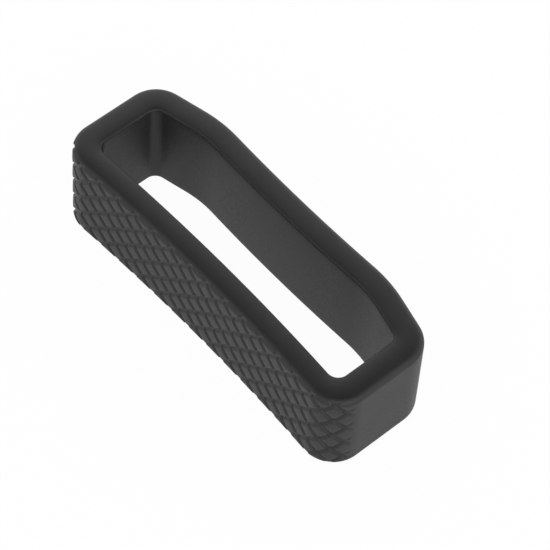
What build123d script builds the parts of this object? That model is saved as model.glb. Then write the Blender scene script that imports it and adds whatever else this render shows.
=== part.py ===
# Moulded rubber strap keeper: one loop that lies round a watch strap and holds its loose end.
# The loop stands on its rim. X runs along the wide side, Y from the textured face to the
# wrist side, and Z along the strap passage. Lengths are millimetres and angles degrees.
from build123d import *
import math
import os

# Strap passage
strap_width = 22.0
strap_side_gap = 0.35
wall = 1.85
front_wall = 1.7
passage_length = strap_width + 2 * strap_side_gap

# Outside of the loop
outer_length = passage_length + 2 * wall
outer_depth = 9.5
loop_height = 7.35
back_length_share = 0.6
shoulder_angle = 14.0
front_bow = 0.53
back_bow = 0.22

# Rounding
outer_corner_radius = 2.25
inner_corner_radius = 0.75
outer_shoulder_radius = 10.0
inner_shoulder_radius = 8.2
outer_rim_radius = 0.65
inner_rim_radius = 0.32

# Diamond pattern of crossing V grooves on the front and its two corners
diamond_length = 1.7
diamond_height = 1.64
groove_width = 0.42
groove_depth = 0.18
groove_run_out = 0.3
pattern_drop = 0.2
pattern_rim_gap = 0.05
cutter_overrun = 0.1
cutter_end_lift = 0.04
front_station_share = 2.0
station_gap = 0.1
corner_station_angle = 20.0
pattern_full_angle = 60.0
pattern_end_angle = 76.0


def sharp_plan():
    """Plan of the loop's outside before its corners are rounded.

    The textured front and the wrist-side back bow slightly inwards, and two slanted
    shoulders join the short ends to the back.
    """
    half_length = outer_length / 2
    half_back = half_length * back_length_share
    shoulder_run = half_length - half_back
    end_depth = outer_depth - shoulder_run * math.tan(math.radians(shoulder_angle))
    back_middle = outer_depth - back_bow
    front = ThreePointArc((-half_length, 0), (0, front_bow), (half_length, 0))
    right_side = Polyline((half_length, 0), (half_length, end_depth), (half_back, outer_depth))
    back = ThreePointArc((half_back, outer_depth), (0, back_middle), (-half_back, outer_depth))
    left_side = Polyline((-half_back, outer_depth), (-half_length, end_depth), (-half_length, 0))
    outline = front.edges() + right_side.edges() + back.edges() + left_side.edges()
    return make_face(outline)


def sharp_passage(outside):
    """Plan of the strap passage before rounding: the outside drawn in by the wall.

    The front wall has its own thickness, so the front half of the plan is moved to suit it.
    """
    passage = offset(outside, amount=-wall, kind=Kind.INTERSECTION)
    align = (Align.CENTER, Align.MIN)
    back_half = Pos(0, outer_depth / 2) * Rectangle(outer_length, outer_depth, align=align)
    front_half = Pos(0, front_wall - wall) * passage - back_half
    return front_half + (passage & back_half)


def rounded_plan(plan, corner_radius, shoulder_radius):
    """The plan with its four end corners and its two shoulders rounded."""
    front_corners, back_corners, shoulders = plan.vertices().group_by(Axis.Y)
    plan = fillet(front_corners + back_corners, corner_radius)
    shoulders = plan.vertices().sort_by(Axis.Y)[-2:]
    return fillet(shoulders, shoulder_radius)


def rim_edges(loop, inside):
    """Edges of both flat rims: those round the passage, or those round the outside."""
    rims = loop.faces().filter_by(Axis.Z)
    edges = ShapeList()
    for rim in rims:
        wires = rim.inner_wires() if inside else [rim.outer_wire()]
        for wire in wires:
            edges += wire.edges()
    return edges


def corner_centre_x():
    """X of the middle of the right front corner's rounding."""
    return outer_length / 2 - outer_corner_radius


def face_at(x):
    """Point of the front face in plan at x, and its outward direction.

    The bowed front is an arc of radius (a^2 + b^2) / 2b for half length a and bow b. The
    corner's arc touches it from outside, so their centres lie the sum of the radii apart.
    """
    half_length = outer_length / 2
    front_radius = (half_length ** 2 + front_bow ** 2) / (2 * front_bow)
    reach = front_radius + outer_corner_radius
    centre_x = corner_centre_x()
    centre_y = front_bow - front_radius + math.sqrt(reach ** 2 - centre_x ** 2)
    side = math.copysign(1, x)
    if abs(x) <= centre_x * front_radius / reach:
        lean = math.asin(x / front_radius)
        y = front_bow - front_radius + front_radius * math.cos(lean)
        return Vector(x, y), Vector(-math.sin(lean), -math.cos(lean))
    turn = math.asin((abs(x) - centre_x) / outer_corner_radius)
    y = centre_y - outer_corner_radius * math.cos(turn)
    return Vector(x, y), Vector(side * math.sin(turn), -math.cos(turn))


def groove_section(x, height, depth):
    """Upright V section of a groove cutter at x, square to the face.

    An upright cut shows the groove wider than it is, by the cosine of its climb.
    """
    climb_angle = math.atan2(diamond_height, diamond_length)
    slope = groove_width / 2 / math.cos(climb_angle) / groove_depth
    half_mouth = Vector(0, 0, slope * (cutter_overrun + depth))
    point, outward = face_at(x)
    centre = point + Vector(0, 0, height)
    mouth = centre + outward * cutter_overrun
    bottom = centre - outward * depth
    return Wire.make_polygon([mouth + half_mouth, mouth - half_mouth, bottom])


def corner_x(angle):
    """X on the right front corner where the face has turned by an angle from the front."""
    return corner_centre_x() + outer_corner_radius * math.sin(math.radians(angle))


def groove_stations():
    """X of the sections that grooves may have, far apart on the front and close on the corners."""
    front_step = diamond_length * front_station_share
    count = math.floor(corner_centre_x() / front_step)
    stations = [step * front_step for step in range(-count, count + 1)]
    turns = math.floor(pattern_full_angle / corner_station_angle)
    for number in range(turns + 1):
        station = corner_x(number * corner_station_angle)
        stations += [station, -station]
    return sorted(stations)


def groove(start, climb):
    """Cutter of one groove that crosses the pattern's middle height at start, or None.

    It climbs to the right where climb is 1 and falls where it is -1. It is straight as seen
    from the front, and runs out just short of the rounded rims, or in a corner where the face
    has turned to the side.
    """
    slope = climb * diamond_height / diamond_length
    middle_height = loop_height / 2 - pattern_drop
    margin = outer_rim_radius + pattern_rim_gap
    to_lower = (margin - middle_height) / slope
    to_upper = (loop_height - margin - middle_height) / slope
    pattern_end = corner_x(pattern_end_angle)
    low = max(-pattern_end, start + min(to_lower, to_upper))
    high = min(pattern_end, start + max(to_lower, to_upper))
    if high - low < groove_run_out * 3:
        return None
    first = max(low + groove_run_out, -corner_x(pattern_full_angle))
    last = min(high - groove_run_out, corner_x(pattern_full_angle))
    between = [x for x in groove_stations() if first + station_gap < x < last - station_gap]
    sections = []
    for x in [low, first] + between + [last, high]:
        depth = -cutter_end_lift if x in (low, high) else groove_depth
        sections.append(groove_section(x, middle_height + slope * (x - start), depth))
    return Solid.make_loft(sections, ruled=True)


def groove_family(climb):
    """Cutters of all the parallel grooves that climb one way, one diamond apart."""
    count = math.ceil(outer_length / 2 / diamond_length + loop_height / diamond_height)
    starts = [diamond_length * (number + 0.5) for number in range(-count, count)]
    grooves = [groove(start, climb) for start in starts]
    return [cutter for cutter in grooves if cutter is not None]


def keeper_loop():
    """The whole keeper: one wall round the strap, with rounded rims.

    Two families of grooves then cross on its front and leave rows of diamonds.
    """
    outside = sharp_plan()
    passage = sharp_passage(outside)
    outside = rounded_plan(outside, outer_corner_radius, outer_shoulder_radius)
    passage = rounded_plan(passage, inner_corner_radius, inner_shoulder_radius)
    loop = extrude(outside, loop_height) - extrude(passage, loop_height)
    loop = fillet(rim_edges(loop, False), outer_rim_radius)
    loop = fillet(rim_edges(loop, True), inner_rim_radius)
    loop = loop - groove_family(1)
    loop = loop - groove_family(-1)
    return loop


def centred(loop):
    """Moved so that the origin is under the middle of the loop, on its lower rim."""
    middle = loop.bounding_box().center()
    return Pos(-middle.X, -middle.Y, 0) * loop


def main():
    os.makedirs("parts", exist_ok=True)
    loop = centred(keeper_loop())
    loop.label = "keeper_loop"
    export_step(loop, "parts/keeper_loop.step")
    size = loop.bounding_box().size
    print("keeper_loop", round(size.X, 3), round(size.Y, 3), round(size.Z, 3), "valid", loop.is_valid)


main()
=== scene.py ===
"""Moulded rubber watch strap keeper, dressed over its CAD frame and set on a plain stage.

Run as a script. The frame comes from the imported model, and the loop here takes its place with
the finer surface of the moulded diamonds. Lengths are metres, in the frame's own axes: X along
the wide side, Y from the diamond face to the wrist side, Z along the strap passage.
"""
import math

import bpy
import numpy as np
from bpy.props import FloatProperty, PointerProperty, StringProperty
from mathutils import Matrix, Vector


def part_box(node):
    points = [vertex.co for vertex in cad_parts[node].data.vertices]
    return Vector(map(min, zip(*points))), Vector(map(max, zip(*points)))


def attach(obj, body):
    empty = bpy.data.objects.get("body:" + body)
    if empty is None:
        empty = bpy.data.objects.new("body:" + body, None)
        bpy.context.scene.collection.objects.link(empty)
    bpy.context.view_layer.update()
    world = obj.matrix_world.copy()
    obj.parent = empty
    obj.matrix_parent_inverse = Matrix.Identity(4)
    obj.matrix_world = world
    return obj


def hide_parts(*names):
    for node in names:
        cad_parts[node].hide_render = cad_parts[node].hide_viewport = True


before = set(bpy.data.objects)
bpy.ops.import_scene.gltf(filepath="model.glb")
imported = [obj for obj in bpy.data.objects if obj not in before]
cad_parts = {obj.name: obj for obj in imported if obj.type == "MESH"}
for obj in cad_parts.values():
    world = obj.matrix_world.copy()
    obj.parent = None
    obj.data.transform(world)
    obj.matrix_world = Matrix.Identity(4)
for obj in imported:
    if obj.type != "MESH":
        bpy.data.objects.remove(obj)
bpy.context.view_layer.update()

bl_info = {
    "name": "Strap keeper",
    "version": (1, 0, 0),
    "blender": (4, 5, 0),
    "location": "3D View > Sidebar > Keeper",
    "description": "Builds a moulded rubber strap keeper with a diamond face, and its stage",
    "category": "Add Mesh",
}

LOOP_NODE = "keeper_loop"
MM = 0.001
CAD_LOW, CAD_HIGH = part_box(LOOP_NODE)

# How finely the surface is divided: each way in a diamond, and round the rest of the plan
DIAMOND_STEPS = 26
PLAIN_COLUMNS = 60

# And across the wall: in a rim's two roundings, in its crown, and in half of the passage side
OUTER_RIM_STEPS = 14
INNER_RIM_STEPS = 6
CROWN_STEPS = 5
PASSAGE_STEPS = 6

# Links of an outline's half that carry diamonds: the bowed front and the corner after it
FACE_LINKS = 2

# Power of a groove's wall, whose lip it rounds
WALL_POWER = 1.2


# Sizes and colours that a user would change

class KeeperShape(bpy.types.PropertyGroup):
    """Sizes of the loop: those of the CAD source, with finer rims."""

    length: FloatProperty(
        name="Outside length", description="Wide side of the loop",
        default=CAD_HIGH.x - CAD_LOW.x, unit="LENGTH", precision=5)
    height: FloatProperty(
        name="Loop height", description="Length of the strap passage",
        default=CAD_HIGH.z - CAD_LOW.z, unit="LENGTH", precision=5)
    depth: FloatProperty(
        name="Outside depth", description="Front corners to back corners, before rounding",
        default=9.5 * MM, unit="LENGTH", precision=5)
    wall: FloatProperty(
        name="Wall", description="Wall thickness at the ends, the shoulders and the back",
        default=1.85 * MM, unit="LENGTH", precision=5)
    front_wall: FloatProperty(
        name="Front wall", description="Wall thickness behind the diamonds",
        default=1.7 * MM, unit="LENGTH", precision=5)
    back_share: FloatProperty(
        name="Back share", description="Back's share of the wide side, between the shoulders",
        default=0.6, subtype="FACTOR", min=0.1, max=0.95)
    shoulder_angle: FloatProperty(
        name="Shoulder angle", description="Slant of the two shoulders",
        default=math.radians(14.0), subtype="ANGLE")
    front_bow: FloatProperty(
        name="Front bow", description="How far the diamond face bows in",
        default=0.53 * MM, unit="LENGTH", precision=5)
    back_bow: FloatProperty(
        name="Back bow", description="How far the wrist side bows in",
        default=0.22 * MM, unit="LENGTH", precision=5)
    outer_corner: FloatProperty(
        name="Outer corner radius", description="Outside radius of the four end corners",
        default=2.25 * MM, unit="LENGTH", precision=5)
    inner_corner: FloatProperty(
        name="Inner corner radius", description="Radius of the passage's four end corners",
        default=0.75 * MM, unit="LENGTH", precision=5)
    outer_shoulder: FloatProperty(
        name="Outer shoulder radius", description="Outside radius of the two shoulders",
        default=10.0 * MM, unit="LENGTH", precision=5)
    inner_shoulder: FloatProperty(
        name="Inner shoulder radius", description="Radius of the passage's two shoulders",
        default=8.2 * MM, unit="LENGTH", precision=5)
    outer_rim: FloatProperty(
        name="Outer rim radius", description="Rounding of the rims on the outside",
        default=0.58 * MM, unit="LENGTH", precision=5)
    inner_rim: FloatProperty(
        name="Inner rim radius", description="Rounding of the rims at the passage",
        default=0.22 * MM, unit="LENGTH", precision=5)
    rim_crown: FloatProperty(
        name="Rim crown", description="How much higher the middle of a rim is than its edges",
        default=0.05 * MM, unit="LENGTH", precision=5)


class DiamondPattern(bpy.types.PropertyGroup):
    """Crossing grooves of the front face, which leave rows of diamonds."""

    length: FloatProperty(
        name="Diamond length", description="From one diamond to the next along the face",
        default=1.69 * MM, unit="LENGTH", precision=5)
    height: FloatProperty(
        name="Diamond height", description="From one diamond to the next up the face",
        default=1.64 * MM, unit="LENGTH", precision=5)
    groove_width: FloatProperty(
        name="Groove width", description="Width of a groove at the face",
        default=0.34 * MM, unit="LENGTH", precision=5)
    groove_depth: FloatProperty(
        name="Groove depth", description="Depth of a groove at its bottom",
        default=0.16 * MM, unit="LENGTH", precision=5)
    groove_floor: FloatProperty(
        name="Groove bottom", description="Share of a groove's width that is its flat bottom",
        default=0.55, subtype="FACTOR", min=0.0, max=0.9)
    drop: FloatProperty(
        name="Pattern drop", description="How far the middle row lies below half height",
        default=0.06 * MM, unit="LENGTH", precision=5)
    shift: FloatProperty(
        name="Pattern shift", description="How far the pattern's middle lies left of the face's",
        default=0.04 * MM, unit="LENGTH", precision=5)
    crown: FloatProperty(
        name="Diamond crown", description="How much lower a diamond's edges lie than its middle",
        default=0.02 * MM, unit="LENGTH", precision=5)
    end_angle: FloatProperty(
        name="End angle", description="Turn of the corner at which the pattern has run out",
        default=math.radians(76.0), subtype="ANGLE")
    run_out_angle: FloatProperty(
        name="Run out angle", description="Turn of the corner over which the pattern runs out",
        default=math.radians(18.0), subtype="ANGLE")


class RubberFinish(bpy.types.PropertyGroup):
    """Colours of the black rubber, as sRGB hex values, and its roughness."""

    body_hex: StringProperty(
        name="Rubber", description="Colour of the moulded rubber", default="#171718")
    bloom_hex: StringProperty(
        name="Bloom", description="Faint grey bloom that handling leaves on the rubber",
        default="#242425")
    roughness: FloatProperty(
        name="Roughness", description="Roughness of the eroded mould's matt skin",
        default=0.5, subtype="FACTOR", min=0.0, max=1.0)


class StageSettings(bpy.types.PropertyGroup):
    """Camera, floor and lights of the product stage."""

    azimuth: FloatProperty(
        name="Azimuth", description="Camera's angle round the loop from the front",
        default=math.radians(45.08), subtype="ANGLE")
    elevation: FloatProperty(
        name="Elevation", description="Camera's angle above the floor",
        default=math.radians(55.465), subtype="ANGLE")
    roll: FloatProperty(
        name="Roll", description="Camera's turn about its own axis",
        default=math.radians(-4.589), subtype="ANGLE")
    distance: FloatProperty(
        name="Distance", description="Camera to the point that it aims at",
        default=192.48 * MM, unit="LENGTH", precision=4)
    lens: FloatProperty(
        name="Lens", description="Focal length, in millimetres on a 36 mm wide frame",
        default=199.24, min=20.0, unit="CAMERA")
    aim_right: FloatProperty(
        name="Aim right",
        description="Aim point right of the front's lower middle, in the picture",
        default=5.496 * MM, unit="LENGTH", precision=5)
    aim_up: FloatProperty(
        name="Aim up",
        description="Aim point above the front's lower middle, in the picture",
        default=4.209 * MM, unit="LENGTH", precision=5)
    floor_hex: StringProperty(
        name="Floor", description="Colour of the floor's paper", default="#FFFFFF")
    wall_strength: FloatProperty(
        name="Room walls", description="Strength of the room's pale walls at the horizon",
        default=1.5, min=0.0)
    side_strength: FloatProperty(
        name="Side window", description="Added strength of the soft window low on the right",
        default=1.6, min=0.0)
    softbox_power: FloatProperty(
        name="Softbox", description="Power of the small softbox behind on the left",
        default=0.018, min=0.0, unit="POWER", precision=4)


# Surface of the loop

def sharp_sizes(shape):
    """Half length, half back, depth at the ends, and the radii of the bowed front and back.

    A bowed side is an arc of radius (a^2 + b^2) / 2b for half length a and bow b.
    """
    half = shape.length / 2
    half_back = half * shape.back_share
    end_depth = shape.depth - (half - half_back) * math.tan(shape.shoulder_angle)
    front_radius = (half ** 2 + shape.front_bow ** 2) / (2 * shape.front_bow)
    back_radius = (half_back ** 2 + shape.back_bow ** 2) / (2 * shape.back_bow)
    return half, half_back, end_depth, front_radius, back_radius


def outline(shape, inset, forward, corner, shoulder):
    """Right half of the plan's outline, from the front's middle to the back's.

    The outline is drawn in by an inset. Its links are arcs and straight runs, given by their
    lengths and their curvatures, positive where the outline turns left. A corner arc touches
    the bowed front from outside, so the two centres lie the sum of the radii apart, and the
    shoulder's arc meets the bowed back in the same way. The passage's front also lies a little
    forward, because the wall is thinner there.
    """
    half, half_back, end_depth, front_radius, back_radius = sharp_sizes(shape)
    slant = shape.shoulder_angle
    end_turn = math.pi / 2 - slant
    half -= inset
    end_depth -= inset * math.tan(end_turn / 2)
    front_reach = front_radius + inset
    front_centre = shape.front_bow - front_radius - forward
    front_turn = math.asin((half - corner) / (front_reach + corner))
    corner_y = front_centre + (front_reach + corner) * math.cos(front_turn)
    cut = corner * math.tan(end_turn / 2)

    back_reach = back_radius + inset
    back_centre = Vector((0, shape.depth - shape.back_bow + back_radius))
    along = Vector((-math.cos(slant), math.sin(slant)))
    inward = Vector((-math.sin(slant), -math.cos(slant)))
    start = Vector((half, end_depth)) + shoulder * inward - back_centre
    middle = start.dot(along)
    slanted = -middle - math.sqrt(middle ** 2 - start.dot(start) + (back_reach + shoulder) ** 2)
    centre = start + slanted * along
    back_turn = math.asin(centre.x / (back_reach + shoulder))

    lengths = np.array([
        front_reach * front_turn,
        corner * (math.pi / 2 + front_turn),
        end_depth - cut - corner_y,
        corner * end_turn,
        slanted - cut,
        shoulder * (slant + back_turn),
        back_reach * back_turn,
    ])
    curvatures = np.array([
        -1 / front_reach, 1 / corner, 0, 1 / corner, 0, 1 / shoulder, -1 / back_reach])
    front = front_centre + front_reach
    low = corner_y - corner
    high = back_centre.y + centre.y + shoulder
    return {"lengths": lengths, "curvatures": curvatures, "front": front, "low": low, "high": high}


def outlines(shape):
    """Outlines of the outside and of the strap passage, and the depth of the outside's middle.

    Both are moved by that depth, half way between the outside's front and back, so that the
    loop lies about the frame's middle.
    """
    outside = outline(shape, 0, 0, shape.outer_corner, shape.outer_shoulder)
    forward = shape.wall - shape.front_wall
    passage = outline(shape, shape.wall, forward, shape.inner_corner, shape.inner_shoulder)
    middle = (outside["low"] + outside["high"]) / 2
    for half in (outside, passage):
        half["front"] -= middle
    return outside, passage, middle


def step_along(length, curvature, heading):
    """Displacement along an arc.

    The chord is length * sinc(length * curvature / 2), and points along the heading half way.
    """
    turn = length * curvature
    chord = length * np.sinc(turn / (2 * math.pi))
    return np.stack([chord * np.cos(heading + turn / 2), chord * np.sin(heading + turn / 2)], -1)


def points_at(half, side, link, share):
    """Points and outward directions of an outline at shares of its links, on either side.

    The heading is the sum of length times curvature of the links passed, each point is the sum
    of their chords, and outward is square to the heading, on its right. The left side is the
    right side mirrored.
    """
    lengths, curvatures = half["lengths"], half["curvatures"]
    headings = np.concatenate([[0], np.cumsum(lengths * curvatures)])
    chords = step_along(lengths, curvatures, headings[:-1])
    starts = np.concatenate([np.zeros((1, 2)), np.cumsum(chords, 0)])
    points = starts[link] + step_along(share * lengths[link], curvatures[link], headings[link])
    points[:, 0] *= side
    points[:, 1] += half["front"]
    heading = headings[link] + share * lengths[link] * curvatures[link]
    outward = np.stack([np.sin(heading) * side, -np.cos(heading)], -1)
    return points, outward


def wall_section(shape, step):
    """Closed section of the wall: length in from the outside, share of the wall, and height.

    It goes up the outside in even rows, over the upper rim, down the passage side and back
    under the lower rim. Each edge is an arc, and between the two the rim is crowned with the
    parabola 4 q (1 - q) across it, whose slope at its ends the arcs meet. The lower half is
    the upper half mirrored.
    """
    height, ro, ri, crown = shape.height, shape.outer_rim, shape.inner_rim, shape.rim_crown
    slope = math.atan(4 * crown / (shape.wall - ro - ri))
    edge = height - crown
    outer_turn = np.linspace(0, math.pi / 2 - slope, OUTER_RIM_STEPS + 1)[1:]
    inner_turn = np.linspace(math.pi / 2 - slope, 0, INNER_RIM_STEPS + 1)
    across = np.linspace(0, 1, CROWN_STEPS + 1)[1:-1]
    outer_end = ro * (1 - math.sin(slope))
    inner_end = ri * (1 - math.sin(slope))
    face_top = edge - ro * math.cos(slope)
    passage_top = edge - ri * math.cos(slope)
    rows = round((face_top - height / 2) / step)
    face = np.linspace(height / 2, face_top, rows + 1)
    passage = np.linspace(passage_top, height / 2, PASSAGE_STEPS + 1)[1:]
    into = np.concatenate([
        np.zeros(len(face)),
        ro * (1 - np.cos(outer_turn)),
        outer_end * (1 - across) - inner_end * across,
        -ri * (1 - np.cos(inner_turn)),
        np.zeros(len(passage)),
    ])
    share = np.concatenate([
        np.zeros(len(face) + len(outer_turn)), across, np.ones(len(inner_turn) + len(passage))])
    up = np.concatenate([
        face,
        edge - ro * (math.cos(slope) - np.sin(outer_turn)),
        edge + 4 * crown * across * (1 - across),
        edge - ri * (math.cos(slope) - np.sin(inner_turn)),
        passage,
    ])
    into = np.concatenate([into[:-1], into[:0:-1]])
    share = np.concatenate([share[:-1], share[:0:-1]])
    up = np.concatenate([up[:-1], height - up[:0:-1]])
    return into, share, up


def pattern_depth(shape, pattern, along, up, facing):
    """How far the diamond face is sunk at a length along the outside and a height.

    Counted in diamonds from the pattern's middle, the grooves of one family lie where length
    less height is a whole number and a half, and those of the other where their sum is. A
    groove has a flat bottom and walls that fall as a power of the way in from the lip, and
    where two cross, the deeper one counts. Between them the diamonds are crowned with the
    product of two sine arches. The pattern follows the face round the corner, and its depth
    runs out there with the angle, before the face has turned to the side.
    """
    row = (up - (shape.height / 2 - pattern.drop)) / pattern.height
    climb = 1 / math.hypot(1 / pattern.length, 1 / pattern.height)
    grooves = []
    arches = []
    for side in (1, -1):
        phase = (along + pattern.shift) / pattern.length - side * row - 0.5
        offset = np.abs(phase - np.round(phase))
        share = offset * climb / (pattern.groove_width / 2)
        wall = np.clip((1 - share) / (1 - pattern.groove_floor), 0, 1)
        grooves.append(wall ** WALL_POWER)
        arches.append(np.sin(math.pi * offset))
    groove = np.maximum(grooves[0], grooves[1])
    crown = 1 - arches[0] * arches[1]
    depth = pattern.groove_depth * groove + pattern.crown * crown * (1 - groove)
    turn = np.arccos(np.clip(facing, -1, 1))
    return depth * np.clip((pattern.end_angle - turn) / pattern.run_out_angle, 0, 1)


def loop_mesh(shape, pattern):
    """Closed mesh of the loop: the wall's section carried round the plan.

    A column joins a point of the outside to the point of the passage at the same share of the
    same link, and a point of the section lies at outside + inward * (into + share * wall). The
    sunk diamonds count where they are deeper than the rim's rounding, so a groove runs out
    into it. Columns are even and close over the diamonds, and wider elsewhere.
    """
    outside, passage, _ = outlines(shape)
    lengths = outside["lengths"]
    ends = np.concatenate([[0], np.cumsum(lengths)])
    step = pattern.length / DIAMOND_STEPS
    face_end = ends[FACE_LINKS]
    face = np.linspace(0, face_end, round(face_end / step) + 1)
    plain = np.linspace(face_end, ends[-1], PLAIN_COLUMNS + 1)[1:]
    right = np.concatenate([face, plain])
    along = np.concatenate([right, -right[-2:0:-1]])
    distance = np.abs(along)
    link = np.clip(np.searchsorted(ends, distance, side="right") - 1, 0, len(lengths) - 1)
    part = (distance - ends[link]) / lengths[link]
    side = np.where(along < 0, -1.0, 1.0)
    outer, outward = points_at(outside, side, link, part)
    inner, _ = points_at(passage, side, link, part)
    across = inner - outer
    wall = np.linalg.norm(across, axis=1, keepdims=True)
    inward = across / wall
    into, share, up = wall_section(shape, pattern.height / DIAMOND_STEPS)
    sunk = pattern_depth(shape, pattern, along[:, None], up[None, :], -outward[:, 1:])
    reach = into[None, :] + share[None, :] * wall
    reach = np.where(share[None, :] > 0, reach, np.maximum(reach, sunk))
    x = outer[:, :1] + inward[:, :1] * reach
    y = outer[:, 1:] + inward[:, 1:] * reach
    z = np.broadcast_to(up[None, :], x.shape)
    co = np.stack([x, y, z], -1).reshape(-1, 3)
    columns, ring = x.shape
    i, j = np.meshgrid(np.arange(columns), np.arange(ring), indexing="ij")
    i2, j2 = (i + 1) % columns, (j + 1) % ring
    quads = np.stack([
        i * ring + j, i2 * ring + j, i2 * ring + j2, i * ring + j2], -1).reshape(-1, 4)
    return co, quads


def put_mesh(name, co, quads):
    """New object at the origin whose smooth mesh has these points and four-sided faces."""
    mesh = bpy.data.meshes.new(name)
    mesh.vertices.add(len(co))
    mesh.vertices.foreach_set("co", co.astype(np.float32).ravel())
    mesh.loops.add(quads.size)
    mesh.loops.foreach_set("vertex_index", quads.astype(np.int32).ravel())
    mesh.polygons.add(len(quads))
    mesh.polygons.foreach_set("loop_start", np.arange(0, quads.size, 4, dtype=np.int32))
    mesh.polygons.foreach_set("use_smooth", np.ones(len(quads), bool))
    mesh.update(calc_edges=True)
    mesh.validate()
    obj = bpy.data.objects.new(name, mesh)
    bpy.context.scene.collection.objects.link(obj)
    return obj


# Materials

WHITE = (1.0, 1.0, 1.0, 1.0)

# Silicone bends light less than most rubbers do
SILICONE_IOR = 1.43

# Pits of the eroded skin are about 0.05 mm across and are drawn at 0.12 mm, so that they show
PIT_SIZE = 0.12 * MM
PIT_DEPTH = 0.02 * MM
PIT_RANGE = (0.3, 0.7)
PIT_BUMP = 0.25
ROUGHNESS_SPREAD = 0.06

# Bloom lies in soft patches of about 2 mm
BLOOM_SIZE = 2.0 * MM
BLOOM_RANGE = (0.42, 0.72)
BLOOM_SHARE = 0.35

# Share of even white in what reflections and the camera see of the floor's paper
MIRRORED_WHITE = 0.9
SEEN_WHITE = 0.97
PAPER_ROUGHNESS = 0.5


def linear(hex_colour):
    """Linear red, green, blue and alpha of an sRGB hex colour."""
    channels = [int(hex_colour.lstrip("#")[k:k + 2], 16) / 255 for k in (0, 2, 4)]
    return [c / 12.92 if c <= 0.04045 else ((c + 0.055) / 1.055) ** 2.4 for c in channels] + [1.0]


def node(tree, kind, inputs=None, **settings):
    """Adds a node with its settings, and sets or links its inputs."""
    new = tree.nodes.new(kind)
    for name, value in settings.items():
        setattr(new, name, value)
    for name, value in (inputs or {}).items():
        if isinstance(value, bpy.types.NodeSocket):
            tree.links.new(value, new.inputs[name])
        else:
            new.inputs[name].default_value = value
    return new


def moulded_rubber(finish):
    """Black silicone rubber, compression moulded in a spark-eroded steel mould.

    The eroded steel gives it a matt skin of fine pits, so it has a broad soft gloss and no
    clear reflections. Handling leaves a faint uneven grey bloom.
    """
    material = bpy.data.materials.new("moulded_black_rubber")
    material.use_nodes = True
    tree = material.node_tree
    tree.nodes.clear()
    place = node(tree, "ShaderNodeTexCoord").outputs["Object"]
    pits = node(tree, "ShaderNodeTexNoise", {
        "Vector": place, "Scale": 1 / PIT_SIZE, "Detail": 3.0, "Roughness": 0.6})
    bloom = node(tree, "ShaderNodeTexNoise", {
        "Vector": place, "Scale": 1 / BLOOM_SIZE, "Detail": 4.0, "Roughness": 0.55})
    patches = node(tree, "ShaderNodeMapRange", {
        "Value": bloom.outputs["Fac"], "From Min": BLOOM_RANGE[0], "From Max": BLOOM_RANGE[1],
        "To Min": 0.0, "To Max": BLOOM_SHARE})
    colour = node(tree, "ShaderNodeMix", {"Factor": patches.outputs["Result"]}, data_type="RGBA")
    colour.inputs["A"].default_value = linear(finish.body_hex)
    colour.inputs["B"].default_value = linear(finish.bloom_hex)
    rough = node(tree, "ShaderNodeMapRange", {
        "Value": pits.outputs["Fac"], "From Min": PIT_RANGE[0], "From Max": PIT_RANGE[1],
        "To Min": finish.roughness - ROUGHNESS_SPREAD,
        "To Max": finish.roughness + ROUGHNESS_SPREAD})
    bump = node(tree, "ShaderNodeBump", {
        "Height": pits.outputs["Fac"], "Strength": PIT_BUMP, "Distance": PIT_DEPTH})
    skin = node(tree, "ShaderNodeBsdfPrincipled", {
        "Base Color": colour.outputs["Result"], "Roughness": rough.outputs["Result"],
        "Normal": bump.outputs["Normal"], "IOR": SILICONE_IOR, "Metallic": 0.0})
    node(tree, "ShaderNodeOutputMaterial", {"Surface": skin.outputs["BSDF"]})
    return material


def pale_floor(floor_hex):
    """Seamless backdrop paper, pressed and uncoated: matt and pale, and white to the camera.

    Camera, glossy and transmitted rays see mostly even white, with enough of the lit paper left
    in it that the loop's shadow stays.
    """
    material = bpy.data.materials.new("pale_backdrop_paper")
    material.use_nodes = True
    tree = material.node_tree
    tree.nodes.clear()
    paper = node(tree, "ShaderNodeBsdfDiffuse", {
        "Color": linear(floor_hex), "Roughness": PAPER_ROUGHNESS})
    white = node(tree, "ShaderNodeEmission", {"Color": WHITE, "Strength": 1.0})
    path = node(tree, "ShaderNodeLightPath")
    mirrored = node(tree, "ShaderNodeMath", {
        0: path.outputs["Is Glossy Ray"], 1: path.outputs["Is Transmission Ray"]},
        operation="MAXIMUM")
    mirrored_share = node(tree, "ShaderNodeMath", {
        0: mirrored.outputs[0], 1: MIRRORED_WHITE}, operation="MULTIPLY")
    camera_share = node(tree, "ShaderNodeMath", {
        0: path.outputs["Is Camera Ray"], 1: SEEN_WHITE}, operation="MULTIPLY")
    share = node(tree, "ShaderNodeMath", {
        0: camera_share.outputs[0], 1: mirrored_share.outputs[0]}, operation="ADD")
    mixed = node(tree, "ShaderNodeMixShader", {
        "Fac": share.outputs[0], 1: paper.outputs[0], 2: white.outputs[0]})
    node(tree, "ShaderNodeOutputMaterial", {"Surface": mixed.outputs[0]})
    return material


# Stage

# The walls fade to the ceiling above this sine of the angle over the horizon
WALL_TOP = 0.25
CEILING_STRENGTH = 0.12

# The window's middle, and the cosine of the angle from it at which its light has faded
WINDOW_SIDE = (0.94, -0.34, 0.0)
WINDOW_EDGE = 0.64

SOFTBOX_SIZE = 0.08
SOFTBOX_PLACE = (-0.065, 0.05, 0.075)
SOFTBOX_AIM = (0, 0, 0.004)
FLOOR_REACH = 0.6
SENSOR_WIDTH = 36.0
CLIP_START, CLIP_END = 0.01, 20.0


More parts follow.
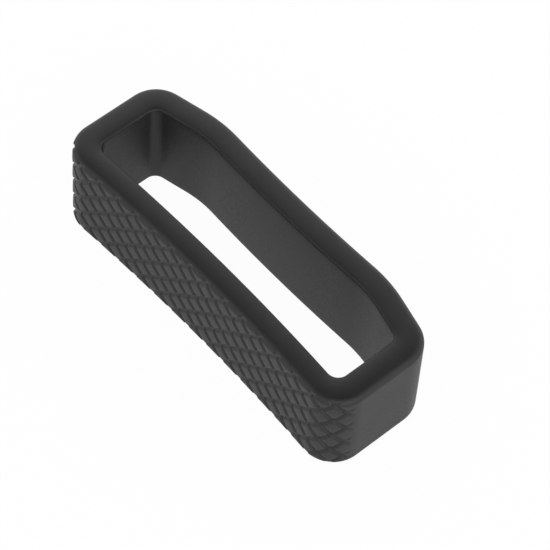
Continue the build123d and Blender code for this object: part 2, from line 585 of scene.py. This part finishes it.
def room_light(stage):
    """World light of a plain room: pale walls, a weak ceiling and one soft window.

    The strength is a smooth step of the direction's height, from the walls' to the ceiling's,
    and a smooth step of the cosine of the angle from the window's middle is added to it.
    """
    world = bpy.data.worlds.new("plain_room_light")
    world.use_nodes = True
    tree = world.node_tree
    tree.nodes.clear()
    direction = node(tree, "ShaderNodeTexCoord").outputs["Generated"]
    level = node(tree, "ShaderNodeVectorMath", {
        0: direction, 1: (0.0, 0.0, 1.0)}, operation="DOT_PRODUCT")
    strength = node(tree, "ShaderNodeMapRange", {
        "Value": level.outputs["Value"], "From Min": WALL_TOP, "From Max": 1.0,
        "To Min": stage.wall_strength, "To Max": CEILING_STRENGTH},
        interpolation_type="SMOOTHSTEP")
    toward = node(tree, "ShaderNodeVectorMath", {
        0: direction, 1: WINDOW_SIDE}, operation="DOT_PRODUCT")
    window = node(tree, "ShaderNodeMapRange", {
        "Value": toward.outputs["Value"], "From Min": WINDOW_EDGE, "From Max": 1.0,
        "To Min": 0.0, "To Max": stage.side_strength}, interpolation_type="SMOOTHSTEP")
    strength = node(tree, "ShaderNodeMath", {
        0: strength.outputs["Result"], 1: window.outputs["Result"]}, operation="ADD")
    light = node(tree, "ShaderNodeBackground", {
        "Color": WHITE, "Strength": strength.outputs[0]})
    node(tree, "ShaderNodeOutputWorld", {"Surface": light.outputs[0]})
    return world


def add_light(name, power, size, place, aim):
    """Square area light at a place, turned to an aim point."""
    data = bpy.data.lights.new(name, "AREA")
    data.shape = "SQUARE"
    data.size = size
    data.energy = power
    lamp = bpy.data.objects.new(name, data)
    lamp.location = place
    lamp.rotation_euler = (Vector(aim) - Vector(place)).to_track_quat("-Z", "Y").to_euler()
    bpy.context.scene.collection.objects.link(lamp)
    return lamp


def add_camera(stage, front_y):
    """Camera on a line of sight given by azimuth, elevation and roll, aimed beside the loop.

    The aim point is the front's lower middle moved right and up in the picture, and the camera
    stands back from it along the line of sight.
    """
    a, e, roll = stage.azimuth, stage.elevation, stage.roll
    back = Vector((math.sin(a) * math.cos(e), -math.cos(a) * math.cos(e), math.sin(e)))
    level_right = Vector((math.cos(a), math.sin(a), 0))
    level_up = back.cross(level_right)
    right = math.cos(roll) * level_right - math.sin(roll) * level_up
    up = math.sin(roll) * level_right + math.cos(roll) * level_up
    aim = Vector((0, front_y, 0)) + stage.aim_right * right + stage.aim_up * up
    data = bpy.data.cameras.new("product_camera")
    data.sensor_width = SENSOR_WIDTH
    data.lens = stage.lens
    data.clip_start = CLIP_START
    data.clip_end = CLIP_END
    camera = bpy.data.objects.new("product_camera", data)
    bpy.context.scene.collection.objects.link(camera)
    turned = Matrix((right, up, back)).transposed().to_4x4()
    camera.matrix_world = Matrix.Translation(aim + stage.distance * back) @ turned
    bpy.context.scene.camera = camera
    return camera


# Operators, panel and registration

class KEEPER_OT_add_loop(bpy.types.Operator):
    """Adds the moulded loop with its diamond face and its rubber"""

    bl_idname = "keeper.add_loop"
    bl_label = "Add keeper loop"

    def execute(self, context):
        scene = context.scene
        co, quads = loop_mesh(scene.keeper_shape, scene.keeper_pattern)
        loop = put_mesh("rubber_loop", co, quads)
        loop.data.materials.append(moulded_rubber(scene.keeper_rubber))
        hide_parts(LOOP_NODE)
        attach(loop, "root")
        return {"FINISHED"}


class KEEPER_OT_add_stage(bpy.types.Operator):
    """Adds the floor, the softbox, the room light and the camera"""

    bl_idname = "keeper.add_stage"
    bl_label = "Add stage"

    def execute(self, context):
        scene = context.scene
        stage = scene.keeper_stage
        corners = FLOOR_REACH * np.array([[-1, -1, 0], [1, -1, 0], [1, 1, 0], [-1, 1, 0]])
        floor = put_mesh("floor", corners, np.array([[0, 1, 2, 3]]))
        floor.data.materials.append(pale_floor(stage.floor_hex))
        add_light(
            "back_softbox", stage.softbox_power, SOFTBOX_SIZE, SOFTBOX_PLACE, SOFTBOX_AIM)
        scene.world = room_light(stage)
        _, _, middle = outlines(scene.keeper_shape)
        add_camera(stage, -middle)
        scene.view_settings.view_transform = "Standard"
        return {"FINISHED"}


class KEEPER_PT_panel(bpy.types.Panel):
    """Lists the keeper's operators and settings"""

    bl_idname = "KEEPER_PT_panel"
    bl_label = "Strap keeper"
    bl_space_type = "VIEW_3D"
    bl_region_type = "UI"
    bl_category = "Keeper"

    def draw(self, context):
        layout = self.layout
        scene = context.scene
        for group_name, kind in GROUPS.items():
            box = layout.box()
            for name in kind.__annotations__:
                box.prop(getattr(scene, group_name), name)
        layout.operator("keeper.add_loop")
        layout.operator("keeper.add_stage")


CLASSES = (KeeperShape, DiamondPattern, RubberFinish, StageSettings,
           KEEPER_OT_add_loop, KEEPER_OT_add_stage, KEEPER_PT_panel)
GROUPS = {"keeper_shape": KeeperShape, "keeper_pattern": DiamondPattern,
          "keeper_rubber": RubberFinish, "keeper_stage": StageSettings}


def register():
    """Registers the classes and hangs the groups of settings on the scene."""
    for cls in CLASSES:
        bpy.utils.register_class(cls)
    for name, group in GROUPS.items():
        setattr(bpy.types.Scene, name, PointerProperty(type=group))


def unregister():
    """Takes the groups of settings off the scene and unregisters the classes."""
    for name in GROUPS:
        delattr(bpy.types.Scene, name)
    for cls in reversed(CLASSES):
        bpy.utils.unregister_class(cls)


def main():
    """Builds the loop and its stage."""
    register()
    bpy.ops.keeper.add_loop()
    bpy.ops.keeper.add_stage()


if __name__ == "__main__":
    main()
